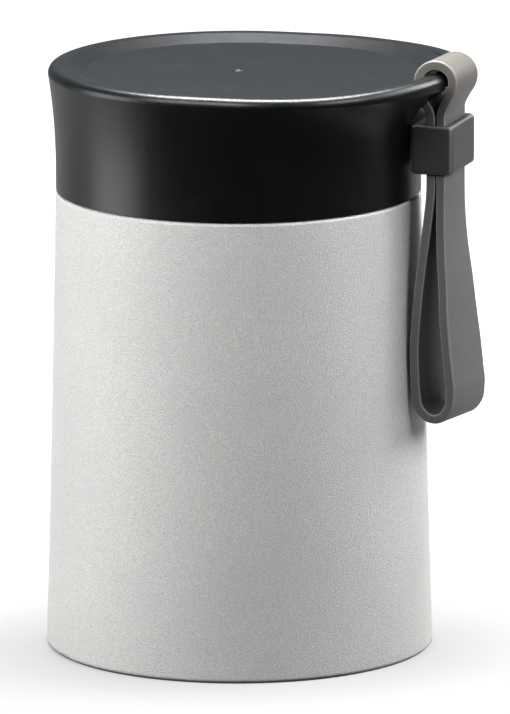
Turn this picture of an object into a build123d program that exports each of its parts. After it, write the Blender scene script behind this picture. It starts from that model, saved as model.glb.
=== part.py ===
from build123d import *
import math
import os

# Insulated food jar: a double-walled steel body, a screw lid whose rim runs out into an ear,
# and a soft carrying strap looped round the ear's bar and held together by a keeper.
# Millimetres. The origin is the centre of the base on the jar's axis, +Z is up, the strap is on +X.

# Body
base_radius = 49.0
waist_radius = 46.1
body_height = 117.0
flank_hollow = 0.14
base_edge_radius = 1.4
shoulder_edge_radius = 1.0
steel = 0.6
base_curl_width = 3.0

# Neck and screw thread
shoulder_width = 7.6
neck_height = 16.0
neck_root_radius = 1.5
thread_lead = 12.0
thread_starts = 2
thread_turns = 0.5
thread_depth = 1.1
thread_root_width = 2.6
thread_crest_width = 1.4
thread_rise = 5.0
thread_root_sink = 0.2
thread_radial_gap = 0.4
thread_flank_gap = 0.1

# Inner vessel and what the vacuum space holds
neck_vacuum_gap = 0.8
vessel_floor_height = 14.0
vessel_corner_radius = 12.0
foil_thickness = 0.2
foil_gap = 0.15
foil_bottom_height = 28.0
foil_top_margin = 3.0
vacuum_base_height = 4.4
vacuum_base_rim = 2.5
seal_port_radius = 2.0
seal_glass_lap = 1.2
seal_glass_thickness = 1.0
getter_length = 14.0
getter_width = 6.0
getter_thickness = 1.2
getter_offset = 16.0
weld_gap = 0.05

# Lid cover
lid_height = 31.9
lid_inset = 0.05
lid_joint_gap = 0.2
flare_start = 5.0
flare = 1.85
flare_power = 2.1
flare_shares = [0, 0.2, 0.4, 0.55, 0.68, 0.78, 0.86, 0.93, 1.0]
rim_roll_radius = 2.0
rim_band = 0.3
ear_shift = 9.3
ear_power = 4.0
ear_rise = 1.8
ear_rise_start = 24.0
rim_ring_width = 3.8
rim_lip_radius = 1.0
dish_depth = 1.7
dish_overrun = 0.25
dish_slope_width = 5.6
dish_slot_margin = 1.7
dish_bar_margin = 0.5
cover_wall = 1.9
cover_plate = 2.8
outline_points = 48
gate_mark_radius = 1.3
gate_mark_depth = 0.35

# Ear slot and the bar that the strap hangs on
bar_width = 4.5
bar_depth = 3.8
bar_edge_radius = 1.0
bar_inner_radius = 1.5
slot_side_gap = 1.4
slot_end_gap = 1.3

# Lid liner, insulation and gasket
liner_wall = 1.4
liner_bottom_gap = 0.8
liner_plug_gap = 0.9
liner_plug_depth = 8.0
gasket_height = 2.0
gasket_gap = 0.05
insulation_gap = 0.1

# Strap
strap_thickness = 2.4
strap_top_width = 17.4
strap_bottom_width = 20.0
strap_taper_length = 42.0
strap_taper_radius = 60.0
strap_drop = 86.4
loop_gap = 0.5
loop_slack = 0.25
loop_angles = (-15, 20, 55, 90, 125, 160, 195)
strand_gap = 0.2
strand_offset = -0.55
strand_top_drop = 9.2
strand_bottom_drop = 29.0
strand_mouth = [(1.3, -3.3), (0.15, -0.6), (0.0, 2.0)]
strap_flank_gap = 0.3
route_steps = 220

# The two strands below the keeper: how far each bows from its line, and the share of the way down
inner_bow = [
    (-0.3, 0.1), (-1.0, 0.25), (-1.75, 0.4), (-2.3, 0.55), (-2.6, 0.7), (-2.45, 0.8), (-2.15, 0.88),
]
outer_bow = [
    (0.05, 0.1), (0.5, 0.25), (1.4, 0.4), (2.15, 0.55), (3.1, 0.7), (3.7, 0.8), (4.1, 0.88),
]
lower_turn = [(-2.1, 0.967), (1.4, 1.0), (4.3, 0.967)]

# Keeper
keeper_wall_out = 1.9
keeper_wall_in = 3.2
keeper_side_wall = 1.2
keeper_height = 12.5
keeper_drop = 11.6
keeper_clearance = 0.3
keeper_corner_radius = 1.1
keeper_edge_radius = 0.7

# How far a cutting solid runs past what it cuts, and how closely an edge is picked
overrun = 5.0
pick = 0.05

# Places that follow from the sizes above
neck_radius = waist_radius - shoulder_width
neck_top = body_height + neck_height
lip_underside = neck_top - steel
vessel_radius = neck_radius - steel - neck_vacuum_gap
mouth_radius = vessel_radius - steel
liner_inner_radius = neck_radius + thread_depth + thread_radial_gap
liner_outer_radius = liner_inner_radius + liner_wall
liner_ceiling = neck_top + 2 * gasket_gap + gasket_height
plug_radius = mouth_radius - liner_plug_gap
lid_bottom = body_height + lid_joint_gap
lid_radius = waist_radius - lid_inset
rim_radius = lid_radius + flare
rim_height = body_height + lid_height
flare_bottom = body_height + flare_start
rim_shoulder = rim_height - rim_roll_radius - rim_band
cover_bore_radius = lid_radius - cover_wall
dish_floor_height = rim_height - dish_depth
cover_ceiling = dish_floor_height - cover_plate
ear_reach = rim_radius + ear_shift
bar_top = rim_height + ear_rise
bar_bottom = bar_top - bar_depth
bar_inner_x = ear_reach - bar_width
slot_length = strap_top_width + 2 * slot_end_gap
slot_width = strap_thickness + 2 * slot_side_gap
slot_inner_x = bar_inner_x - slot_width
loop_inner_radius = math.hypot(bar_width, bar_depth) / 2 + loop_slack
swing_x = ear_reach + loop_gap - loop_inner_radius
swing_z = (bar_top + bar_bottom) / 2
strand_pitch = strap_thickness + strand_gap
strand_middle_x = swing_x + strand_offset
outer_strand_x = strand_middle_x + strand_pitch / 2
inner_strand_x = strand_middle_x - strand_pitch / 2
strap_foot = swing_z - strap_drop


def round_corner(face, corner, radius):
    return fillet(face.vertices().sort_by_distance(corner)[0], radius)


def spin(face):
    return revolve(Plane.XZ * face, Axis.Z)


def ring(inner_radius, outer_radius, bottom, top):
    tube = Cylinder(outer_radius, top - bottom) - Cylinder(inner_radius, top - bottom)
    return Pos(0, 0, (bottom + top) / 2) * tube


def disc(radius, bottom, top):
    return Pos(0, 0, (bottom + top) / 2) * Cylinder(radius, top - bottom)


def flank_radius(height):
    # Radius of the body's outside at a height, from the arc through foot, middle and waist.
    share = height / body_height
    cone = base_radius + (waist_radius - base_radius) * share
    return cone - 4 * flank_hollow * share * (1 - share)


def body_outline(inset, top):
    # Half section of the body moved inwards by inset: foot, flank, shoulder and neck.
    foot = (base_radius - inset, inset)
    middle = (flank_radius(body_height / 2) - inset, body_height / 2)
    shoulder = (waist_radius - inset, body_height - inset)
    neck_root = (neck_radius - inset, body_height - inset)
    flank = ThreePointArc(foot, middle, shoulder)
    rest = Polyline(shoulder, neck_root, (neck_radius - inset, top), (0, top), (0, inset), foot)
    face = make_face([flank, rest])
    face = round_corner(face, foot, base_edge_radius - inset)
    face = round_corner(face, shoulder, shoulder_edge_radius - inset)
    return round_corner(face, neck_root, neck_root_radius + inset)


def thread_ridge(root_radius, outward, start_height):
    # One helical ridge; outward is +1 on the neck and -1 inside the liner.
    path = Helix(pitch=thread_lead, height=thread_lead * thread_turns, radius=root_radius)
    half_root = thread_root_width / 2
    half_crest = thread_crest_width / 2
    tip = outward * (thread_depth + thread_root_sink)
    corners = [(0, -half_root), (tip, -half_crest), (tip, half_crest), (0, half_root)]
    start = Plane(origin=path @ 0, x_dir=(1, 0, 0), z_dir=path % 0)
    section = start * make_face(Polyline(*corners, close=True))
    return Pos(0, 0, start_height) * sweep(section, path, is_frenet=True)


def thread(root_radius, outward, start_height):
    ridge = thread_ridge(root_radius, outward, start_height)
    return [Rot(0, 0, 360 * i / thread_starts) * ridge for i in range(thread_starts)]


def make_outer_shell():
    shell = spin(body_outline(0, lip_underside)) - spin(body_outline(steel, lip_underside + overrun))
    shell -= disc(base_radius - base_edge_radius - base_curl_width, -overrun, 2 * steel)
    for ridge in thread(neck_radius - thread_root_sink, 1, body_height + thread_rise):
        shell += ridge
    return shell


def make_inner_vessel():
    # Straight cup with a rounded floor and a lip that closes the vacuum space over the neck.
    outside = Rectangle(vessel_radius, neck_top - vessel_floor_height, align=(Align.MIN, Align.MIN))
    outside = Pos(0, vessel_floor_height) * outside
    outside = round_corner(outside, (vessel_radius, vessel_floor_height), vessel_corner_radius)
    inside_floor = vessel_floor_height + steel
    inside = Rectangle(mouth_radius, neck_top + overrun - inside_floor, align=(Align.MIN, Align.MIN))
    inside = Pos(0, inside_floor) * inside
    inside = round_corner(inside, (mouth_radius, inside_floor), vessel_corner_radius - steel)
    cup = spin(outside) + disc(neck_radius, lip_underside, neck_top)
    return cup - spin(inside)


def make_vacuum_base():
    # Disc welded inside the outer shell, with a turned-down rim and the seal port at its centre.
    top = vacuum_base_height + steel
    outer = flank_radius(top) - steel - weld_gap
    plate = disc(outer, vacuum_base_height, top)
    plate += ring(outer - steel, outer, vacuum_base_height - vacuum_base_rim, top)
    return plate - disc(seal_port_radius, vacuum_base_height - overrun, top + overrun)


def make_seal_glass():
    radius = seal_port_radius + seal_glass_lap
    return disc(radius, vacuum_base_height - seal_glass_thickness, vacuum_base_height)


def make_getter():
    height = vacuum_base_height + steel + getter_thickness / 2
    return Pos(getter_offset, 0, height) * Box(getter_length, getter_width, getter_thickness)


def make_copper_foil():
    inner = vessel_radius + foil_gap
    top = body_height - steel - foil_top_margin
    return ring(inner, inner + foil_thickness, foil_bottom_height, top)


def make_base_cover():
    # Flat steel disc inside the curled foot; its underside is what the jar stands on.
    radius = base_radius - base_edge_radius - base_curl_width - weld_gap
    return disc(radius, 0, steel)


def rim_outline(radius, shift, height):
    # Round outline drawn out towards +X: two arcs of one radius, shift apart, joined by straights.
    points = []
    for i in range(outline_points):
        angle = 2 * math.pi * i / outline_points
        cosine, sine = math.cos(angle), math.sin(angle)
        reach = radius
        if cosine > 0 and radius * cosine <= shift * abs(sine):
            reach = radius / abs(sine)
        elif cosine > 0:
            reach = shift * cosine + math.sqrt(radius ** 2 - (shift * sine) ** 2)
        points.append((reach * cosine, reach * sine, height))
    return make_face(Spline(*points, periodic=True))


def wall_section(share):
    # The cover's outside at a share of the way up the flare.
    height = flare_bottom + share * (rim_shoulder - flare_bottom)
    radius = lid_radius + (rim_radius - lid_radius) * share ** flare_power
    return rim_outline(radius, ear_shift * share ** ear_power, height)


def rim_top_cut():
    # Everything above the rim: level round the lid, rising to the top of the bar at the ear.
    level = (ear_rise_start, rim_height)
    tip = (ear_reach, bar_top)
    rise = TangentArc(level, tip, tangent=(1, 0))
    high = bar_top + 2 * overrun
    far = 3 * ear_reach
    rest = Polyline(tip, (far, bar_top), (far, high), (-far, high), (-far, rim_height), level)
    return extrude(Plane.XZ * make_face([rise, rest]), amount=far, both=True)


def dish_line(height):
    # The dish's upper edge, just inside the bar.
    radius = rim_radius - rim_ring_width
    return rim_outline(radius, bar_inner_x - dish_bar_margin - radius, height)


def dish_cut():
    floor_radius = rim_radius - rim_ring_width - dish_slope_width
    floor_shift = slot_inner_x - dish_slot_margin - floor_radius
    floor = rim_outline(floor_radius, floor_shift, dish_floor_height)
    edge = dish_line(rim_height + dish_overrun)
    top = extrude(edge, amount=ear_rise + overrun, dir=(0, 0, 1))
    return loft([floor, edge], ruled=True) + top


def dish_lip(cover):
    # The edges where the dish meets the top of the rim.
    line = dish_line(0).wires()[0]
    lip = []
    for edge in cover.edges():
        box = edge.bounding_box()
        spot = edge.position_at(0.5)
        level = box.max.Z - box.min.Z < pick and box.min.Z > rim_height + pick
        near = line.distance_to(Vertex(spot.X, spot.Y, 0)) < rim_ring_width / 4
        if box.min.Z > rim_height - pick and near and not level:
            lip.append(edge)
    return lip


def slot_cut():
    # Upright slot inside the bar and the open window under it; the bar's inner side is left round.
    outside = ear_reach + overrun
    above = bar_top + overrun
    opening = make_face(Polyline(
        (slot_inner_x, flare_bottom), (outside, flare_bottom), (outside, above), (slot_inner_x, above),
        close=True,
    ))
    bar = make_face(Polyline(
        (bar_inner_x, bar_bottom), (outside, bar_bottom), (outside, bar_top), (bar_inner_x, bar_top),
        close=True,
    ))
    bar = fillet(bar.vertices().group_by(Axis.X)[0], bar_inner_radius)
    return extrude(Plane.XZ * (opening - bar), amount=slot_length / 2, both=True)


def make_lid_cover():
    cover = loft([wall_section(share) for share in flare_shares])
    cover += extrude(wall_section(0), amount=flare_bottom - lid_bottom, dir=(0, 0, -1))
    cover += extrude(wall_section(1), amount=bar_top + overrun - rim_shoulder, dir=(0, 0, 1))
    cover -= rim_top_cut()
    outer_edges = [edge for edge in cover.edges() if edge.bounding_box().min.Z > rim_height - pick]
    cover = fillet(outer_edges, rim_roll_radius)
    cover -= dish_cut()
    cover = fillet(dish_lip(cover), rim_lip_radius)
    cover -= slot_cut()
    under_bar = cover.edges().filter_by_position(Axis.Z, bar_bottom - pick, bar_bottom + pick)
    cover = fillet(under_bar.sort_by(Axis.X)[-1], bar_edge_radius)
    cover -= disc(cover_bore_radius, lid_bottom - overrun, cover_ceiling)
    gate_height = dish_floor_height - gate_mark_depth
    cover -= ring(gate_mark_radius / 2, gate_mark_radius, gate_height, gate_height + overrun)
    return cover


def make_lid_liner():
    # Skirt with the female thread, a foot out to the cover, and a plug that dips into the mouth.
    bottom = lid_bottom + liner_bottom_gap
    ceiling_top = liner_ceiling + liner_wall
    plug_bottom = neck_top - liner_plug_depth
    bore = cover_bore_radius - weld_gap
    points = [
        (0, plug_bottom), (plug_radius, plug_bottom), (plug_radius, liner_ceiling),
        (liner_inner_radius, liner_ceiling), (liner_inner_radius, bottom), (bore, bottom),
        (bore, bottom + liner_wall), (liner_outer_radius, bottom + liner_wall),
        (liner_outer_radius, ceiling_top), (plug_radius - liner_wall, ceiling_top),
        (plug_radius - liner_wall, plug_bottom + liner_wall), (0, plug_bottom + liner_wall),
    ]
    liner = spin(make_face(Polyline(*points, close=True)))
    drop = (thread_root_width + thread_crest_width) / 2 + thread_flank_gap
    start = body_height + thread_rise - drop
    for ridge in thread(liner_inner_radius + thread_root_sink, -1, start):
        liner += ridge
    return liner


def make_lid_gasket():
    bottom = neck_top + gasket_gap
    inner = plug_radius + gasket_gap
    return ring(inner, liner_inner_radius - gasket_gap, bottom, bottom + gasket_height)


def make_lid_insulation():
    well = plug_radius - liner_wall - insulation_gap
    well_bottom = neck_top - liner_plug_depth + liner_wall + insulation_gap
    shelf = liner_ceiling + liner_wall + insulation_gap
    top = cover_ceiling - insulation_gap
    return disc(well, well_bottom, top) + disc(cover_bore_radius - insulation_gap, shelf, top)


def strap_route():
    # Middle line of the band in the XZ plane, once round: loop, inner strand, lower turn, outer strand.
    middle_radius = loop_inner_radius + strap_thickness / 2
    loop = []
    for degrees in loop_angles:
        angle = math.radians(degrees)
        loop.append((swing_x + middle_radius * math.cos(angle), swing_z + middle_radius * math.sin(angle)))
    mouth = swing_z - strand_top_drop
    bend = swing_z - strand_bottom_drop
    middle = (mouth + bend) / 2
    fall = bend - strap_foot
    inner_side = [(inner_strand_x - across, mouth - down) for across, down in strand_mouth]
    inner_side += [(inner_strand_x, middle), (inner_strand_x, bend)]
    outer_side = [(outer_strand_x + across, mouth - down) for across, down in strand_mouth]
    outer_side += [(outer_strand_x, middle), (outer_strand_x, bend)]
    # On a wide foot the band leans out until it hangs clear of the flank.
    last_bow, last_share = inner_bow[-1]
    resting_x = flank_radius(bend - last_share * fall) + strap_flank_gap + strap_thickness / 2
    lean = max(0, resting_x - inner_strand_x - last_bow)
    inner_side += [(inner_strand_x + bow + lean * share, bend - share * fall) for bow, share in inner_bow]
    outer_side += [(outer_strand_x + bow + lean * share, bend - share * fall) for bow, share in outer_bow]
    turn = [(strand_middle_x + across + lean, bend - share * fall) for across, share in lower_turn]
    return loop + inner_side + turn + outer_side[::-1]


def strap_front():
    # The band's outline seen from outside: straight at the top, widening below the keeper.
    high = swing_z + loop_inner_radius + strap_thickness + overrun
    taper_top = swing_z - strand_bottom_drop
    taper_bottom = taper_top - strap_taper_length
    narrow = strap_top_width / 2
    wide = strap_bottom_width / 2
    right = [(narrow, high), (narrow, taper_top), (wide, taper_bottom), (wide, strap_foot - overrun)]
    left = [(-across, height) for across, height in reversed(right)]
    front = make_face(Polyline(*right, *left, close=True))
    for corner in right[1:3] + left[1:3]:
        front = round_corner(front, corner, strap_taper_radius)
    return front


def make_strap():
    # Band of constant thickness along the route, cut to the outline seen from outside.
    route = Spline(*strap_route(), periodic=True)
    sides = {1: [], -1: []}
    for i in range(route_steps):
        place, heading = route @ (i / route_steps), route % (i / route_steps)
        for side in sides:
            reach = side * strap_thickness / 2
            sides[side].append((place.X - heading.Y * reach, place.Y + heading.X * reach))
    faces = [make_face(Spline(*points, periodic=True)) for points in sides.values()]
    faces.sort(key=lambda face: face.area)
    band = extrude(Plane.XZ * (faces[1] - faces[0]), amount=strap_bottom_width, both=True)
    return band & extrude(Plane.YZ * strap_front(), amount=2 * ear_reach)


def make_strap_keeper():
    slot_low = inner_strand_x - strap_thickness / 2 - keeper_clearance
    slot_high = outer_strand_x + strap_thickness / 2 + keeper_clearance
    low_x = slot_low - keeper_wall_in
    high_x = slot_high + keeper_wall_out
    half_slot = strap_top_width / 2 + keeper_clearance
    half_width = half_slot + keeper_side_wall
    middle_z = swing_z - keeper_drop - keeper_height / 2
    footprint = RectangleRounded(high_x - low_x, 2 * half_width, keeper_corner_radius)
    block = extrude(footprint, amount=keeper_height / 2, both=True)
    ends = block.edges().group_by(Axis.Z)
    block = fillet(ends[0] + ends[-1], keeper_edge_radius)
    block = Pos((low_x + high_x) / 2, 0, middle_z) * block
    slot = Box(slot_high - slot_low, 2 * half_slot, 2 * keeper_height)
    return block - Pos((slot_low + slot_high) / 2, 0, middle_z) * slot


makers = {
    "outer_shell": make_outer_shell,
    "inner_vessel": make_inner_vessel,
    "vacuum_base": make_vacuum_base,
    "seal_glass": make_seal_glass,
    "getter": make_getter,
    "copper_foil": make_copper_foil,
    "base_cover": make_base_cover,
    "lid_cover": make_lid_cover,
    "lid_liner": make_lid_liner,
    "lid_gasket": make_lid_gasket,
    "lid_insulation": make_lid_insulation,
    "strap": make_strap,
    "strap_keeper": make_strap_keeper,
}

os.makedirs("parts", exist_ok=True)
for node, make in makers.items():
    export_step(make(), f"parts/{node}.step")
    print(node)
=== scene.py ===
import math
import bpy
from mathutils import Matrix, Vector


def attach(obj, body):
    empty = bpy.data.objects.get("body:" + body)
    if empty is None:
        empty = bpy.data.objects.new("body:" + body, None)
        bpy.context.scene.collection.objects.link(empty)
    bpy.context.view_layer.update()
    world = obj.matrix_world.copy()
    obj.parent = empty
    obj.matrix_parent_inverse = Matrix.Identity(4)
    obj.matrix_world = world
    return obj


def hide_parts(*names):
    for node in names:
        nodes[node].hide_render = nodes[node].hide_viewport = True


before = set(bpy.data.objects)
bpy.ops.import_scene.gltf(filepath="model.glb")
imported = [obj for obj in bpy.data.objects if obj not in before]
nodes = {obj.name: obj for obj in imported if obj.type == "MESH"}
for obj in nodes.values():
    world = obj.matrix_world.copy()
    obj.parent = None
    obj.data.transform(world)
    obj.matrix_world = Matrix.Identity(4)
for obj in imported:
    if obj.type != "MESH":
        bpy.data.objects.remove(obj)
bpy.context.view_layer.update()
mm = 0.001
print("frame loaded")


# ---- shader maths: one wrapped socket, and one sheet of nodes per finish

class Value:
    # a shader output; arithmetic on it adds Math nodes to its sheet
    def __init__(self, sheet, socket):
        self.sheet = sheet
        self.socket = socket

    def math(self, operation, *terms):
        return self.sheet.node("ShaderNodeMath", {"operation": operation}, dict(enumerate(terms)))

    def __add__(self, other):
        return self.math("ADD", self, other)

    def __radd__(self, other):
        return self.math("ADD", other, self)

    def __sub__(self, other):
        return self.math("SUBTRACT", self, other)

    def __rsub__(self, other):
        return self.math("SUBTRACT", other, self)

    def __mul__(self, other):
        return self.math("MULTIPLY", self, other)

    def __pow__(self, other):
        return self.math("POWER", self, other)

    def above(self, low, high):
        # 0 under low, 1 over high, smooth between
        inputs = {"Value": self, "From Min": low, "From Max": high}
        return self.sheet.node("ShaderNodeMapRange", {"interpolation_type": "SMOOTHSTEP"}, inputs)


class Sheet:
    # the nodes of one finish
    def __init__(self, name, tree=None):
        if tree is None:
            self.material = bpy.data.materials.new(name)
            self.material.use_nodes = True
            tree = self.material.node_tree
        self.tree = tree
        self.tree.nodes.clear()
        self.place = None

    def node(self, kind, settings=None, inputs=None, out=0):
        made = self.tree.nodes.new(kind)
        for key, value in (settings or {}).items():
            setattr(made, key, value)
        for key, value in (inputs or {}).items():
            if isinstance(value, Value):
                self.tree.links.new(value.socket, made.inputs[key])
            elif isinstance(value, tuple) and len(made.inputs[key].default_value) == 4:
                made.inputs[key].default_value = (*value, 1.0)
            else:
                made.inputs[key].default_value = value
        return Value(self, made.outputs[out]) if len(made.outputs) else made

    def where(self):
        if self.place is None:
            self.place = self.node("ShaderNodeTexCoord", out="Object")
        return self.place

    def axes(self):
        split = self.node("ShaderNodeSeparateXYZ", {}, {0: self.where()})
        outputs = split.socket.node.outputs
        return [Value(self, outputs[i]) for i in range(3)]

    def stretch(self, scale):
        return self.node("ShaderNodeMapping", {}, {"Vector": self.where(), "Scale": scale})

    def noise(self, grain, detail=2.0, rough=0.5, at=None, seed=0.0):
        # grain is the size of a speck in metres; a seed gives a pattern of its own
        inputs = {"Vector": at or self.where(), "Scale": 1 / grain, "Detail": detail, "Roughness": rough}
        if seed:
            inputs["W"] = seed
        return self.node("ShaderNodeTexNoise", {"noise_dimensions": "4D" if seed else "3D"}, inputs)

    def blend(self, mask, first, second):
        return self.node("ShaderNodeMix", {"data_type": "RGBA"}, {0: mask, 6: first, 7: second}, out=2)

    def bump(self, height, depth):
        return self.node("ShaderNodeBump", {}, {"Height": height, "Distance": depth, "Strength": 1.0})

    def finish(self, **inputs):
        named = {key.replace("_", " "): value for key, value in inputs.items()}
        shader = self.node("ShaderNodeBsdfPrincipled", {}, named)
        self.node("ShaderNodeOutputMaterial", {}, {"Surface": shader})
        return self.material


def rgb(red, green, blue):
    # a screen colour, 0 to 255, as linear light
    levels = [level / 255 for level in (red, green, blue)]
    return tuple(((c + 0.055) / 1.055) ** 2.4 if c > 0.04 else c / 12.92 for c in levels)


# ---- finishes

coatSettings = {
    "pale": rgb(229, 230, 226), "deep": rgb(201, 202, 201), "spark": rgb(244, 244, 240),
    "grain": 0.4 * mm, "flatness": 1.7, "fineGrain": 0.22 * mm, "patch": 22 * mm, "grainDepth": 0.2 * mm,
    "roughness": 0.53, "metallic": 0.3,
    # noise levels between which each pattern fades in, and the most that it shows
    "coarseEdge": (0.35, 0.65), "sparkEdge": (0.6, 0.72), "sparkShare": 0.6,
    "patchEdge": (0.35, 0.7), "patchShare": 0.2,
    # where the paint ends, and over what distance it thins out
    "shoulder": 116.6 * mm, "neck": 44.2 * mm, "neckSoft": 0.2 * mm, "foot": 0.7 * mm, "footSoft": 0.15 * mm,
}
steelSettings = {
    "dull": rgb(176, 176, 178), "bright": rgb(200, 200, 201), "line": 0.5 * mm, "mottle": 6 * mm,
    "lineStretch": (0.02, 0.02, 1.6), "mottleEdge": (0.3, 0.7), "lineDepth": 0.02 * mm,
    "roughness": 0.24, "lineRough": 0.12, "mottleRough": 0.06,
}


def steelParts(sheet):
    # blasted stainless steel with faint turning lines: colour, roughness and height
    s = steelSettings
    lines = sheet.noise(s["line"], 3.0, 0.6, sheet.stretch(s["lineStretch"]))
    mottle = sheet.noise(s["mottle"], 3.0, 0.55, seed=2.0)
    colour = sheet.blend(mottle.above(*s["mottleEdge"]), s["dull"], s["bright"])
    return colour, s["roughness"] + lines * s["lineRough"] + mottle * s["mottleRough"], lines


def coatFinish():
    # pearl powder coat on the outside, bare steel on the neck, the thread and under the foot
    s = coatSettings
    sheet = Sheet("bodyCoat")
    x, y, z = sheet.axes()
    outward = (x * x + y * y) ** 0.5
    overShoulder = z.above(s["shoulder"], s["shoulder"] + s["neckSoft"])
    onNeck = overShoulder * (1 - outward.above(s["neck"], s["neck"] + s["neckSoft"]))
    coated = z.above(s["foot"] - s["footSoft"], s["foot"] + s["footSoft"]) * (1 - onNeck)
    coarse = sheet.noise(s["grain"], 2.0, 0.55, sheet.stretch((1.0, 1.0, s["flatness"])))
    fine = sheet.noise(s["fineGrain"], 1.0, 0.5, seed=3.0)
    patch = sheet.noise(s["patch"], 2.0, 0.5, seed=5.0)
    spark = fine.above(*s["sparkEdge"])
    colour = sheet.blend(coarse.above(*s["coarseEdge"]), s["deep"], s["pale"])
    colour = sheet.blend(spark * s["sparkShare"], colour, s["spark"])
    colour = sheet.blend(patch.above(*s["patchEdge"]) * s["patchShare"], colour, s["deep"])
    steelColour, steelRough, steelLines = steelParts(sheet)
    colour = sheet.blend(coated, steelColour, colour)
    rough = coated * (s["roughness"] + coarse * 0.1 - spark * 0.12) + (1 - coated) * steelRough
    height = coated * (coarse * 0.7 + fine * 0.3) + (1 - coated) * steelLines * 0.15
    return sheet.finish(
        Base_Color=colour, Roughness=rough, Metallic=1 - coated * (1 - s["metallic"]),
        Normal=sheet.bump(height, s["grainDepth"]),
    )


def steelFinish():
    sheet = Sheet("brushedSteel")
    colour, rough, lines = steelParts(sheet)
    relief = sheet.bump(lines, steelSettings["lineDepth"])
    return sheet.finish(Base_Color=colour, Roughness=rough, Metallic=1.0, Normal=relief)


lidSettings = {
    "black": rgb(4, 6, 8), "worn": rgb(9, 11, 13), "grain": 0.35 * mm, "streak": 1.6 * mm, "wear": 14 * mm,
    "wearEdge": (0.5, 0.75), "wearShare": 0.25, "flowShare": 0.15,
    "grainDepth": 0.006 * mm, "roughness": 0.33, "shine": 0.5,
}


def lidFinish():
    # satin moulded plastic: fine spark-eroded grain, faint upright flow lines and a little handling wear
    s = lidSettings
    sheet = Sheet("lidBlack")
    grain = sheet.noise(s["grain"], 2.0, 0.5)
    flow = sheet.noise(s["streak"], 3.0, 0.6, sheet.stretch((1.0, 1.0, 0.05)), seed=1.0)
    wear = sheet.noise(s["wear"], 4.0, 0.6, seed=4.0).above(*s["wearEdge"])
    colour = sheet.blend(wear * s["wearShare"] + flow * s["flowShare"], s["black"], s["worn"])
    rough = s["roughness"] + (grain - 0.5) * 0.05 + (flow - 0.5) * 0.08 + wear * 0.04
    return sheet.finish(
        Base_Color=colour, Roughness=rough, Specular_IOR_Level=s["shine"],
        Normal=sheet.bump(grain * 0.6 + flow * 0.4, s["grainDepth"]),
    )


mouldedSettings = {"cloud": 9 * mm, "cloudEdge": (0.3, 0.7), "cloudShare": 0.6, "fineShare": 0.4}


def mouldedFinish(name, colour, shade, roughness, grain, depth):
    # moulded plastic, rubber or foam: two tones, a fine grain and larger cloudy patches
    s = mouldedSettings
    sheet = Sheet(name)
    fine = sheet.noise(grain, 2.0, 0.55)
    cloud = sheet.noise(s["cloud"], 3.0, 0.5, seed=6.0)
    mask = cloud.above(*s["cloudEdge"]) * s["cloudShare"] + fine * s["fineShare"]
    tone = sheet.blend(mask, shade, colour)
    rough = roughness + (fine - 0.5) * 0.08 + (cloud - 0.5) * 0.08
    return sheet.finish(Base_Color=tone, Roughness=rough, Normal=sheet.bump(fine, depth))


foilSettings = {
    "deep": rgb(176, 110, 78), "pale": rgb(214, 150, 112), "crease": 5 * mm, "creaseEdge": (0.3, 0.7),
    "creaseDepth": 0.3 * mm, "roughness": 0.22, "creaseRough": 0.2,
}


def foilFinish():
    # thin copper sheet, softly creased
    s = foilSettings
    sheet = Sheet("copperFoil")
    creases = sheet.noise(s["crease"], 4.0, 0.6)
    tone = sheet.blend(creases.above(*s["creaseEdge"]), s["deep"], s["pale"])
    rough = s["roughness"] + creases * s["creaseRough"]
    return sheet.finish(
        Base_Color=tone, Metallic=1.0, Roughness=rough, Normal=sheet.bump(creases, s["creaseDepth"]),
    )


bandSettings = {
    "fine": 0.3 * mm, "cloud": 7 * mm, "dust": 0.8 * mm, "grainDepth": 0.01 * mm, "roughness": 0.5,
    # towards the top the band turns paler and warmer, and its pale edges grow into a painted highlight
    "upperFrom": 132 * mm, "upperTo": 156 * mm, "topHighlightTo": 150 * mm, "topHighlightGain": 3.0,
    # the inner face of the loop is darkened towards this colour: painted shade
    "inside": rgb(10, 10, 12), "insideShare": 0.6, "insideEdge": (0.2, 0.8), "wearAndHighlightEdge": (0.05, 0.45),
    "dustShare": 0.12, "dustEdge": (0.62, 0.75),
}


def bandFinish(name, face, top, edge):
    # soft-touch rubber, paler and warmer towards the top. The mesh's attribute "edge" is above 0 where the
    # surface is drawn paler, partly as rub wear and partly as a painted highlight that grows towards the top,
    # and below 0 on the inner face of the loop, darkened as painted shade.
    s = bandSettings
    sheet = Sheet(name)
    edges = sheet.node("ShaderNodeAttribute", {"attribute_name": "edge"}, {}, out="Fac")
    fine = sheet.noise(s["fine"], 2.0, 0.55)
    cloud = sheet.noise(s["cloud"], 3.0, 0.55, seed=7.0)
    dust = sheet.noise(s["dust"], 2.0, 0.6, seed=9.0).above(*s["dustEdge"])
    z = sheet.axes()[2]
    # paler and warmer towards the top
    tone = sheet.blend(z.above(s["upperFrom"], s["upperTo"]), face, top)
    # the pale edges grow stronger towards the top: a painted highlight
    topHighlight = 1 + z.above(s["upperFrom"], s["topHighlightTo"]) * s["topHighlightGain"]
    tone = sheet.blend(edges.above(*s["wearAndHighlightEdge"]) * (0.5 + cloud * 0.5) * topHighlight, tone, edge)
    tone = sheet.blend(dust * s["dustShare"], tone, edge)
    # darkens the inner face of the loop: painted shade
    tone = sheet.blend((0 - edges).above(*s["insideEdge"]) * s["insideShare"], tone, s["inside"])
    rough = s["roughness"] + (fine - 0.5) * 0.1 + (cloud - 0.5) * 0.08
    return sheet.finish(Base_Color=tone, Roughness=rough, Normal=sheet.bump(fine, s["grainDepth"]))


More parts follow.
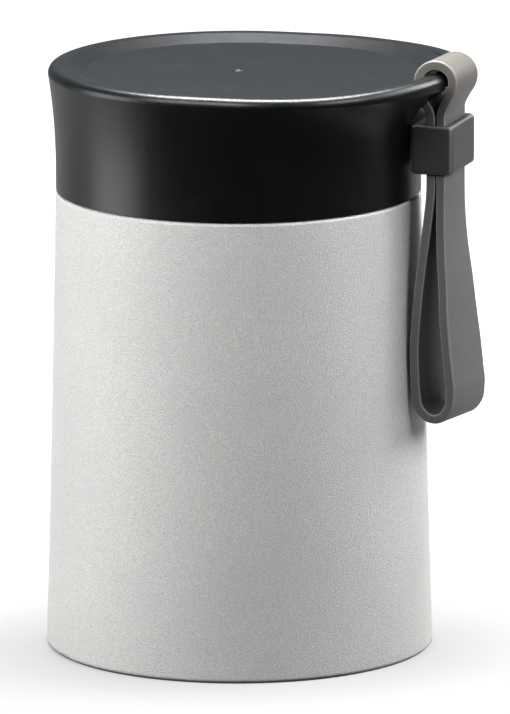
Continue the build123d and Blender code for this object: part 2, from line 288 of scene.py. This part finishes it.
finishes = {
    "bodyCoat": coatFinish(),
    "steel": steelFinish(),
    "lid": lidFinish(),
    "liner": mouldedFinish("linerGrey", rgb(92, 94, 97), rgb(80, 82, 85), 0.42, 0.4 * mm, 0.01 * mm),
    "gasket": mouldedFinish(
        "gasketSilicone", rgb(226, 226, 221), rgb(212, 212, 206), 0.38, 0.5 * mm, 0.008 * mm,
    ),
    "foam": mouldedFinish("foamWhite", rgb(238, 237, 230), rgb(220, 219, 210), 0.85, 0.7 * mm, 0.15 * mm),
    "solder": mouldedFinish("sealSolder", rgb(74, 78, 74), rgb(54, 58, 54), 0.12, 1.2 * mm, 0.02 * mm),
    "getter": mouldedFinish("getterStrip", rgb(120, 119, 121), rgb(98, 97, 99), 0.6, 0.3 * mm, 0.03 * mm),
    "foil": foilFinish(),
    "strap": bandFinish("strapGrey", rgb(84, 84, 87), rgb(92, 89, 83), rgb(144, 140, 135)),
    "keeper": bandFinish("keeperGrey", rgb(53, 52, 56), rgb(55, 54, 57), rgb(112, 109, 107)),
}
nodeFinish = {
    "outer_shell": "bodyCoat", "inner_vessel": "steel", "vacuum_base": "steel", "base_cover": "steel",
    "seal_glass": "solder", "getter": "getter", "copper_foil": "foil", "lid_cover": "lid",
    "lid_liner": "liner", "lid_gasket": "gasket", "lid_insulation": "foam", "strap": "strap",
    "strap_keeper": "keeper",
}
for name, finish in nodeFinish.items():
    nodes[name].data.materials.clear()
    nodes[name].data.materials.append(finishes[finish])
print("finishes made")


# ---- strap

strap = {
    # millimetres and degrees; drops are below the bar's axis
    "swingX": 54.505, "swingZ": 148.8, "loopRadius": 4.395, "thickness": 2.4, "edgeRadius": 0.45,
    "middleX": 53.955, "halfPitch": 1.3,
    "mouthDrop": 9.2, "ringFoot": 10.2, "bendDrop": 29.0, "footDrop": 86.4,
    # the last entry on this line: how pale the band's narrow sides are drawn, partly rub wear and partly
    # painted highlight
    "topWidth": 17.4, "bottomWidth": 20.0, "taperLength": 42.0, "sideWearAndHighlight": 0.14,
    "steps": 300, "edgeSteps": 6, "curveSteps": 24,
    # how the band hangs: all of it, then what the ring over the bar and the lower loop add
    "twist": 3.0, "shift": -0.22,
    "ringTwist": 0.9, "ringRoll": 2.0, "ringShift": -0.1, "ringLift": -0.85, "ringSlide": -1.5,
    "lowTwist": 6.0, "lowShift": -0.18, "lowRoll": 2.5, "lowDrop": 0.6,
}
loopAngles = (-15, 20, 55, 90, 125, 160, 195)
# the mouth: sideways and down from where the strands come together
mouth = ((1.3, -3.3), (0.15, -0.6), (0.0, 2.0))
# the strands below the bend: sideways, and the share of the way down to the foot
innerBow = ((-0.5, 0.1), (-1.3, 0.25), (-1.95, 0.4), (-2.35, 0.55), (-2.6, 0.7), (-2.45, 0.8), (-2.15, 0.88))
outerBow = ((0.05, 0.1), (0.5, 0.25), (1.4, 0.4), (2.15, 0.55), (3.1, 0.7), (3.7, 0.8), (4.1, 0.88))
lowerTurn = ((-2.1, 0.967), (1.4, 1.0), (4.3, 0.967))


def strapRoute():
    # the band's middle line once round, in millimetres: loop, inner strand, lower turn, outer strand
    s = strap
    points = []
    for degrees in loopAngles:
        angle = math.radians(degrees)
        x = s["swingX"] + s["loopRadius"] * math.cos(angle)
        points.append((x, s["swingZ"] + s["loopRadius"] * math.sin(angle)))
    mouthZ = s["swingZ"] - s["mouthDrop"]
    bend = s["swingZ"] - s["bendDrop"]
    fall = s["footDrop"] - s["bendDrop"]

    def strand(side, bow):
        lineX = s["middleX"] + side * s["halfPitch"]
        run = [(lineX + side * across, mouthZ - down) for across, down in mouth]
        run += [(lineX, (mouthZ + bend) / 2), (lineX, bend)]
        return run + [(lineX + out, bend - share * fall) for out, share in bow]

    turn = [(s["middleX"] + out, bend - share * fall) for out, share in lowerTurn]
    return points + strand(-1, innerBow) + turn + strand(1, outerBow)[::-1]


class Tree:
    # a Geometry Nodes tree: nodes, links and named inputs
    def __init__(self, name, inputs):
        self.tree = bpy.data.node_groups.new(name, "GeometryNodeTree")
        face = self.tree.interface
        face.new_socket("Geometry", in_out="INPUT", socket_type="NodeSocketGeometry")
        face.new_socket("Geometry", in_out="OUTPUT", socket_type="NodeSocketGeometry")
        self.keys = {}
        self.values = {}
        for label, value in inputs.items():
            kind = "NodeSocketInt" if isinstance(value, int) else "NodeSocketFloat"
            if isinstance(value, bpy.types.Material):
                kind = "NodeSocketMaterial"
            self.keys[label] = face.new_socket(label, in_out="INPUT", socket_type=kind).identifier
            self.values[label] = value
        self.start = self.tree.nodes.new("NodeGroupInput")
        self.end = self.tree.nodes.new("NodeGroupOutput")

    def given(self, label):
        return self.start.outputs[label]

    def node(self, kind, settings=None, inputs=None, out=0):
        made = self.tree.nodes.new(kind)
        for key, value in (settings or {}).items():
            setattr(made, key, value)
        for key, value in (inputs or {}).items():
            if isinstance(value, bpy.types.NodeSocket):
                self.tree.links.new(value, made.inputs[key])
            else:
                made.inputs[key].default_value = value
        return made.outputs[out]

    def math(self, operation, *terms):
        return self.node("ShaderNodeMath", {"operation": operation}, dict(enumerate(terms)))

    def axes(self):
        split = self.node("ShaderNodeSeparateXYZ", {}, {0: self.node("GeometryNodeInputPosition")})
        return [split.node.outputs[i] for i in range(3)]

    def ease(self, value, low, high):
        # 0 under low, 1 over high, smooth between
        return self.node(
            "ShaderNodeMapRange", {"interpolation_type": "SMOOTHSTEP"},
            {"Value": value, "From Min": low, "From Max": high},
        )

    def apply(self, carrier, name):
        # runs the tree on the carrier and returns the result as a plain mesh object
        modifier = carrier.modifiers.new("make", "NODES")
        modifier.node_group = self.tree
        for label, key in self.keys.items():
            modifier[key] = self.values[label]
        depsgraph = bpy.context.evaluated_depsgraph_get()
        mesh = bpy.data.meshes.new_from_object(carrier.evaluated_get(depsgraph), depsgraph=depsgraph)
        piece = addPiece(name, mesh)
        bpy.data.objects.remove(carrier)
        return piece


def addPiece(name, mesh):
    mesh.name = name
    piece = bpy.data.objects.new(name, mesh)
    bpy.context.collection.objects.link(piece)
    return piece


def makeStrapTree():
    # sweeps a rounded flat section along the route, then widens, twists and tilts it by height
    s = strap

    def slope(key):
        return math.tan(math.radians(s[key]))

    tree = Tree("strapBand", {
        "Width": s["topWidth"] * mm, "Thickness": s["thickness"] * mm, "Edge radius": s["edgeRadius"] * mm,
        "Steps": s["steps"], "Widening": s["bottomWidth"] / s["topWidth"] - 1,
        "Twist": slope("twist"), "Shift": s["shift"] * mm,
        "Ring twist": slope("ringTwist"), "Ring roll": slope("ringRoll"),
        "Ring shift": s["ringShift"] * mm, "Ring lift": s["ringLift"] * mm, "Ring slide": s["ringSlide"] * mm,
        "Low twist": slope("lowTwist"), "Low shift": s["lowShift"] * mm,
        "Low roll": slope("lowRoll"), "Low drop": s["lowDrop"] * mm,
        "Rubber": finishes["strap"],
    })
    route = tree.node(
        "GeometryNodeResampleCurve", {}, {"Curve": tree.given("Geometry"), "Count": tree.given("Steps")},
    )
    section = tree.node(
        "GeometryNodeCurvePrimitiveQuadrilateral", {"mode": "RECTANGLE"},
        {"Width": tree.given("Width"), "Height": tree.given("Thickness")},
    )
    section = tree.node(
        "GeometryNodeFilletCurve", {"mode": "POLY"},
        {"Curve": section, "Count": s["edgeSteps"], "Radius": tree.given("Edge radius")},
    )
    # the "edge" attribute: 1 on the round corners and less on the sides, which the finish draws pale as rub
    # wear and painted highlight, and below 0 on the inner face, which it darkens as painted shade
    acrossSection, throughSection = tree.axes()[:2]
    outer = []
    for place, label in ((acrossSection, "Width"), (throughSection, "Thickness")):
        half = tree.math("MULTIPLY", tree.given(label), 0.5)
        flat = tree.math("SUBTRACT", half, tree.given("Edge radius"))
        outer.append(tree.ease(tree.math("ABSOLUTE", place), flat, half))
    # the narrow sides drawn partly pale: rub wear and painted highlight
    wearAndHighlight = tree.math("MULTIPLY_ADD", outer[1], 1 - s["sideWearAndHighlight"], s["sideWearAndHighlight"])
    corner = tree.math("MULTIPLY", outer[0], wearAndHighlight)
    # the inner face's share, darkened in the finish as painted shade
    inside = tree.math("MULTIPLY", throughSection, -1.0)
    inside = tree.ease(inside, 0.0, s["thickness"] / 2 * mm)
    inside = tree.math("MULTIPLY", inside, tree.math("SUBTRACT", 1.0, outer[0]))
    section = tree.node(
        "GeometryNodeStoreNamedAttribute", {"data_type": "FLOAT", "domain": "POINT"},
        {"Geometry": section, "Name": "edge", "Value": tree.math("SUBTRACT", corner, inside)},
    )
    band = tree.node(
        "GeometryNodeCurveToMesh", {}, {"Curve": route, "Profile Curve": section, "Fill Caps": False},
    )
    x, y, z = tree.axes()
    bend = (s["swingZ"] - s["bendDrop"]) * mm
    ring = tree.ease(z, (s["swingZ"] - s["ringFoot"]) * mm, s["swingZ"] * mm)
    low = tree.ease(tree.math("MULTIPLY", z, -1.0), -bend, -(bend - s["taperLength"] * mm))
    wide = tree.math("MULTIPLY_ADD", low, tree.given("Widening"), 1.0)
    across = tree.math("MULTIPLY", y, wide)
    twist = tree.math("MULTIPLY_ADD", ring, tree.given("Ring twist"), tree.given("Twist"))
    twist = tree.math("MULTIPLY_ADD", low, tree.given("Low twist"), twist)
    shift = tree.math("MULTIPLY_ADD", ring, tree.given("Ring shift"), tree.given("Shift"))
    shift = tree.math("MULTIPLY_ADD", low, tree.given("Low shift"), shift)
    newX = tree.math("ADD", tree.math("MULTIPLY_ADD", across, twist, x), shift)
    newY = tree.math("MULTIPLY_ADD", ring, tree.given("Ring slide"), across)
    fall = tree.math("MULTIPLY", tree.math("MULTIPLY", across, tree.given("Ring roll")), ring)
    lowFall = tree.math("MULTIPLY_ADD", across, tree.given("Low roll"), tree.given("Low drop"))
    fall = tree.math("MULTIPLY_ADD", lowFall, low, fall)
    newZ = tree.math("SUBTRACT", tree.math("MULTIPLY_ADD", ring, tree.given("Ring lift"), z), fall)
    moved = tree.node("ShaderNodeCombineXYZ", {}, {0: newX, 1: newY, 2: newZ})
    band = tree.node("GeometryNodeSetPosition", {}, {"Geometry": band, "Position": moved})
    band = tree.node("GeometryNodeSetShadeSmooth", {}, {"Geometry": band, "Shade Smooth": True})
    band = tree.node("GeometryNodeRealizeInstances", {}, {"Geometry": band})
    band = tree.node("GeometryNodeSetMaterial", {}, {"Geometry": band, "Material": tree.given("Rubber")})
    tree.tree.links.new(band, tree.end.inputs["Geometry"])
    return tree


def makeStrap():
    route = strapRoute()
    curve = bpy.data.curves.new("strapRoute", "CURVE")
    curve.dimensions = "3D"
    curve.resolution_u = strap["curveSteps"]
    spline = curve.splines.new("BEZIER")
    spline.bezier_points.add(len(route) - 1)
    spline.use_cyclic_u = True
    for point, (x, z) in zip(spline.bezier_points, route):
        point.co = (x * mm, 0, z * mm)
        point.handle_left_type = "AUTO"
        point.handle_right_type = "AUTO"
    carrier = bpy.data.objects.new("strapRoute", curve)
    bpy.context.collection.objects.link(carrier)
    band = makeStrapTree().apply(carrier, "strapBand")
    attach(band, "strap")
    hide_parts("strap")


makeStrap()
print("strap made")


# ---- keeper

keeper = {
    # millimetres and degrees; edge and mouth radii are at most these shares of the wall's thickness
    "wallIn": 3.5, "wallOut": 1.9, "wallSide": 1.2, "clearance": 0.3, "height": 12.5, "drop": 11.6,
    "twist": 3.0, "shift": -0.22, "corner": 1.5, "slotCorner": 0.35, "bulge": 0.045,
    "edge": 1.0, "edgeShare": 0.72, "mouthEdge": 0.3, "mouthShare": 0.2,
    "cornerSteps": 8, "edgeSteps": 6, "sideSteps": 6, "wearAndHighlightSlope": 0.6,
}


def roundedBox(lowX, highX, halfY, radius, steps, sideSteps):
    # points round a rectangle with round corners, counter-clockwise from the corner at high X, low Y
    corners = ((highX, -halfY, -90), (highX, halfY, 0), (lowX, halfY, 90), (lowX, -halfY, 180))
    points = []
    for cornerX, cornerY, start in corners:
        middleX = cornerX - math.copysign(radius, cornerX - (lowX + highX) / 2)
        middleY = cornerY - math.copysign(radius, cornerY)
        for i in range(steps + 1):
            angle = math.radians(start + 90 * i / steps)
            points.append((middleX + radius * math.cos(angle), middleY + radius * math.sin(angle)))
    full = []
    for i, point in enumerate(points):
        full.append(point)
        if i % (steps + 1) == steps:
            follower = points[(i + 1) % len(points)]
            for j in range(1, sideSteps):
                share = j / sideSteps
                full.append(tuple(a + (b - a) * share for a, b in zip(point, follower)))
    return full


def gridMesh(name, rings):
    # a closed mesh from rings of points, the last joined to the first
    mesh = bpy.data.meshes.new(name)
    count = len(rings[0])
    points = [point for ring in rings for point in ring]
    faces = []
    for i in range(len(rings)):
        here = i * count
        there = (i + 1) % len(rings) * count
        for j in range(count):
            k = (j + 1) % count
            faces.append((here + j, here + k, there + k, there + j))
    mesh.from_pydata(points, [], faces)
    mesh.polygons.foreach_set("use_smooth", [True] * len(faces))
    mesh.update()
    return mesh


def makeKeeper():
    # a block with rounded edges and a slot for the two strands, its walls swelling slightly at mid-height
    k = keeper
    s = strap
    halfSlotX = s["halfPitch"] + s["thickness"] / 2 + k["clearance"]
    slotLow = s["middleX"] - halfSlotX
    slotHigh = s["middleX"] + halfSlotX
    halfSlotY = s["topWidth"] / 2 + k["clearance"]
    outerSides = (slotLow - k["wallIn"], slotHigh + k["wallOut"], halfSlotY + k["wallSide"])
    outer = roundedBox(*outerSides, k["corner"], k["cornerSteps"], k["sideSteps"])
    inner = roundedBox(slotLow, slotHigh, halfSlotY, k["slotCorner"], k["cornerSteps"], k["sideSteps"])
    top = s["swingZ"] - k["drop"]
    bottom = top - k["height"]
    lean = math.tan(math.radians(k["twist"]))
    rings = []

    def addRing(placed):
        # placed(wall) gives how far out of the slot's wall a point is, and its height, in millimetres
        ring = []
        for (outX, outY), (inX, inY) in zip(outer, inner):
            wall = math.hypot(outX - inX, outY - inY)
            out, height = placed(wall)
            across = inY + (outY - inY) * out / wall
            along = inX + (outX - inX) * out / wall + k["shift"] + across * lean
            ring.append((along * mm, across * mm, height * mm))
        rings.append(ring)

    def edgeOf(wall):
        return min(k["edge"], k["edgeShare"] * wall)

    def mouthOf(wall):
        return min(k["mouthEdge"], k["mouthShare"] * wall)

    # up the outside from the bottom edge to the top edge, then over the slot's mouth and down the slot
    quarter = [math.pi / 2 * i / k["edgeSteps"] for i in range(k["edgeSteps"] + 1)]
    levels = [i / k["sideSteps"] for i in range(1, k["sideSteps"])]
    for a in quarter:
        sideways, upwards = 1 - math.sin(a), 1 - math.cos(a)
        addRing(lambda wall: (wall - edgeOf(wall) * sideways, bottom + edgeOf(wall) * upwards))
    for q in levels:
        swell = k["bulge"] * math.sin(math.pi * q)
        addRing(lambda wall: (wall + swell, bottom + edgeOf(wall) + (k["height"] - 2 * edgeOf(wall)) * q))
    for a in quarter:
        sideways, upwards = 1 - math.cos(a), 1 - math.sin(a)
        addRing(lambda wall: (wall - edgeOf(wall) * sideways, top - edgeOf(wall) * upwards))
    for a in quarter:
        sideways, upwards = 1 - math.sin(a), 1 - math.cos(a)
        addRing(lambda wall: (mouthOf(wall) * sideways, top - mouthOf(wall) * upwards))
    for a in reversed(quarter):
        sideways, upwards = 1 - math.sin(a), 1 - math.cos(a)
        addRing(lambda wall: (mouthOf(wall) * sideways, bottom + mouthOf(wall) * upwards))
    mesh = gridMesh("keeperBlock", rings)
    # paler where the surface turns away from the block's flat sides: partly rub wear, partly a painted
    # highlight on the rounded edges
    edges = mesh.attributes.new("edge", "FLOAT", "POINT")
    slopes = [1 - max(abs(part) for part in point.normal) for point in mesh.vertices]
    edges.data.foreach_set("value", [min(1.0, slope / k["wearAndHighlightSlope"]) for slope in slopes])
    mesh.materials.append(finishes["keeper"])
    piece = addPiece("keeperBlock", mesh)
    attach(piece, "keeper")
    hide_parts("strap_keeper")


makeKeeper()
print("keeper made")


# ---- gate mark

gate = {"floor": 147.2, "radius": 0.95, "halfWidth": 0.6, "rise": 0.2, "steps": 48, "sides": 16}


def makeGateMark():
    # the small raised ring that the moulding gate leaves in the middle of the lid
    g = gate
    rings = []
    for i in range(g["steps"]):
        turn = 2 * math.pi * i / g["steps"]
        ring = []
        for j in range(g["sides"]):
            angle = 2 * math.pi * j / g["sides"]
            out = (g["radius"] + g["halfWidth"] * math.cos(angle)) * mm
            level = (g["floor"] - g["rise"] * math.sin(angle)) * mm
            ring.append((out * math.cos(turn), out * math.sin(turn), level))
        rings.append(ring)
    mesh = gridMesh("gateMark", rings)
    mesh.materials.append(finishes["lid"])
    mark = addPiece("gateMark", mesh)
    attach(mark, "lid")


makeGateMark()
print("gate mark made")


# ---- floor, light and camera

stage = {
    "facing": 15.0, "distance": 3.0, "elevation": 11.907, "targetZ": 75 * mm,
    "panRight": 4.04 * mm, "panDown": 1.53 * mm, "roll": 0.1255, "focal": 598.3,
    "sensor": 36.0, "farthest": 50.0,
    # pale paper, and a dark patch of floor towards the camera, seen only in reflections and bounced light: it
    # paints a dark reflection into the lid's wall
    "floorSize": 12.0, "paper": rgb(113, 113, 112), "palePaper": rgb(119, 119, 118), "paperGrain": 0.4,
    "darkReflection": rgb(30, 30, 31), "darkReflectionTurn": 20.0, "darkReflectionEdge": (-0.02, 0.09),
    # the floor's own light: its share near the jar, the distances over which it grows, and the grey halo
    # round the jar, a painted shadow
    "floorGlow": 0.38, "glowEdge": (0.06, 0.13), "paintedShadowDepth": 0.07, "paintedShadowEdge": (0.055, 0.08),
    # how far back the paper shines in reflections, and how much
    "paperEdge": (-0.3, 0.5), "paperShine": 0.2,
    # the room's light for everything but the camera
    "roomBack": 0.05, "roomEdge": (-0.5, 1.0), "roomColour": (0.89, 1.0, 1.11), "white": (1.0, 1.0, 1.0),
}
lamps = {
    # side angle from the camera, distance, height, height it faces, width, tall, radiance
    "leftBox": (-81, 0.5, 0.16, 0.16, 0.3, 0.3, 4.3),
    "leftHigh": (-37, 0.6, 0.5, 0.1, 0.42, 0.35, 7.2),
    "rightHigh": (45, 0.6, 0.5, 0.1, 0.25, 0.35, 7.3),
    "rightFront": (80, 0.6, 0.45, 0.12, 0.2, 0.4, 4.9),
    "rightBack": (108, 0.6, 0.45, 0.12, 0.3, 0.4, 10.5),
    "overhead": (180, 0.17, 0.87, 0.15, 0.6, 0.42, 27.5),
    "overheadLeft": (-150, 0.3, 0.85, 0.15, 0.4, 0.25, 10.0),
}


def direction(side, height):
    # unit vector from the object; side 0 is towards the camera, positive to the camera's right
    turn = math.radians(stage["facing"] + side)
    lift = math.radians(height)
    return Vector((math.sin(turn) * math.cos(lift), -math.cos(turn) * math.cos(lift), math.sin(lift)))


def towards(sheet, place, side):
    # how far a place lies, or how much a ray points, towards that side
    inputs = {0: place, 1: direction(side, 0)}
    return sheet.node("ShaderNodeVectorMath", {"operation": "DOT_PRODUCT"}, inputs, out="Value")


def rayMask(sheet, kind):
    return sheet.node("ShaderNodeLightPath", out=f"Is {kind} Ray")


def larger(first, second):
    return first.math("MAXIMUM", first, second)


def seenMask(sheet, place):
    # 1 for what the camera or glass sees, and a weak shine of the paper behind the jar
    shine = rayMask(sheet, "Glossy") * towards(sheet, place, 180).above(*stage["paperEdge"])
    seen = larger(rayMask(sheet, "Camera"), rayMask(sheet, "Transmission"))
    return larger(seen, shine * stage["paperShine"])


def makeFloor():
    # a wide sheet, lit by the lamps, with light of its own that only the camera, glass and weak shine see;
    # that light is dimmed in a grey halo round the jar as painted shadow
    s = stage
    half = s["floorSize"] / 2
    corners = [(-half, -half, 0), (half, -half, 0), (half, half, 0), (-half, half, 0)]
    mesh = bpy.data.meshes.new("floor")
    mesh.from_pydata(corners, [], [(0, 1, 2, 3)])
    sheet = Sheet("floorWhite")
    paper = sheet.blend(sheet.noise(s["paperGrain"]), s["paper"], s["palePaper"])
    # the floor's colour turns dark on the camera's side, where only reflections and bounced light see it: a
    # painted dark reflection
    darkReflectionSide = towards(sheet, sheet.where(), s["darkReflectionTurn"]).above(*s["darkReflectionEdge"])
    x, y = sheet.axes()[:2]
    reach = (x * x + y * y) ** 0.5
    lit = larger(darkReflectionSide, reach.above(*s["glowEdge"]))
    # dims the floor's own light in a ring round the jar: painted shadow
    paintedShadow = 1 - s["paintedShadowDepth"] + reach.above(*s["paintedShadowEdge"]) * s["paintedShadowDepth"]
    strength = (s["floorGlow"] + lit * (1 - s["floorGlow"])) * paintedShadow
    seen = seenMask(sheet, sheet.where())
    matt = sheet.node("ShaderNodeBsdfDiffuse", {}, {"Color": sheet.blend(darkReflectionSide, paper, s["darkReflection"])})
    glow = sheet.node("ShaderNodeEmission", {}, {"Color": s["white"], "Strength": strength})
    both = sheet.node("ShaderNodeAddShader", {}, {0: matt, 1: glow})
    mix = sheet.node("ShaderNodeMixShader", {}, {0: seen, 1: matt, 2: both})
    sheet.node("ShaderNodeOutputMaterial", {}, {"Surface": mix})
    mesh.materials.append(sheet.material)
    addPiece("floor", mesh)


def makeWorld():
    # white where the camera looks; a dim room, paler at the back, for everything else
    world = bpy.data.worlds.new("studio")
    bpy.context.scene.world = world
    world.use_nodes = True
    sheet = Sheet("studio", world.node_tree)
    ray = sheet.node("ShaderNodeTexCoord", out="Generated")
    level = towards(sheet, ray, 180).above(*stage["roomEdge"]) * stage["roomBack"]
    strength = larger(seenMask(sheet, ray), level)
    colour = sheet.blend(rayMask(sheet, "Camera"), stage["roomColour"], stage["white"])
    background = sheet.node("ShaderNodeBackground", {}, {"Color": colour, "Strength": strength})
    sheet.node("ShaderNodeOutputWorld", {}, {"Surface": background})


def makeLamps():
    for name, (side, distance, height, faced, width, tall, radiance) in lamps.items():
        data = bpy.data.lights.new(name, "AREA")
        data.shape = "RECTANGLE"
        data.size = width
        data.size_y = tall
        data.energy = radiance * math.pi * width * tall
        lamp = bpy.data.objects.new(name, data)
        lamp.location = direction(side, 0) * distance + Vector((0, 0, height))
        lamp.rotation_euler = (lamp.location - Vector((0, 0, faced))).to_track_quat("Z", "Y").to_euler()
        lamp.visible_camera = False
        bpy.context.collection.objects.link(lamp)


def makeCamera():
    data = bpy.data.cameras.new("camera")
    data.lens = stage["focal"]
    data.sensor_fit = "VERTICAL"
    data.sensor_height = stage["sensor"]
    data.clip_end = stage["farthest"]
    camera = bpy.data.objects.new("camera", data)
    away = direction(0, stage["elevation"])
    right = direction(90, 0)
    up = away.cross(right)
    centre = Vector((0, 0, stage["targetZ"]))
    target = centre + right * stage["panRight"] - up * stage["panDown"]
    camera.location = centre + away * stage["distance"]
    look = (camera.location - target).to_track_quat("Z", "Y").to_matrix().to_4x4()
    tilt = Matrix.Rotation(math.radians(-stage["roll"]), 4, "Z")
    camera.matrix_world = Matrix.Translation(camera.location) @ look @ tilt
    bpy.context.collection.objects.link(camera)
    bpy.context.scene.camera = camera


makeFloor()
makeWorld()
makeLamps()
makeCamera()
bpy.context.scene.view_settings.view_transform = "Standard"
print("stage set")
